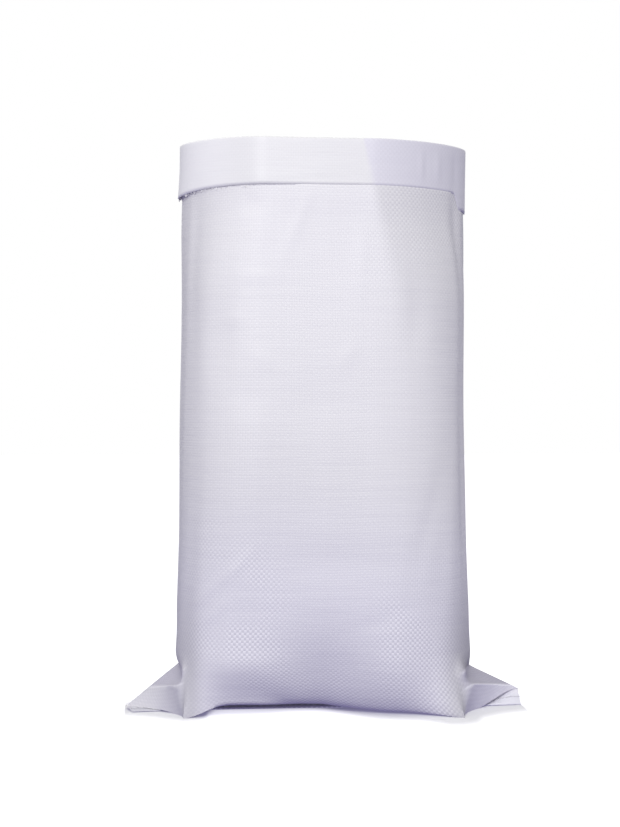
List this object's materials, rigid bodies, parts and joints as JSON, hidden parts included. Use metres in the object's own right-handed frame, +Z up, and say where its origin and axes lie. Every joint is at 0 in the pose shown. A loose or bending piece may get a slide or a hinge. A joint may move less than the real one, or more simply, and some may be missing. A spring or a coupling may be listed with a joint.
{
  "type": "woven polypropylene cement bag, filled and standing open",
  "caption": "White woven sack standing full on its sewn end, mouth open and turned out as a cuff, two pointed ears at the floor.",
  "frame": {"origin": "on the floor, in the middle of the bottom seam under the standing sack", "axes": "+Z up, the front of the sack faces -Y, the flat tube's side creases run up the left (-X) and the right (+X)"},
  "size_m": [0.5001, 0.227, 0.708],
  "materials": {
    "sack_weave": "woven polypropylene tape, satin",
    "cement": "dry powder, matte",
    "thread": "spun polyester, matte"
  },
  "bodies": {
    "root": {"woven_sack": "sack_weave", "cement_fill": "cement", "closing_thread": "thread"}
  },
  "joints": []
}
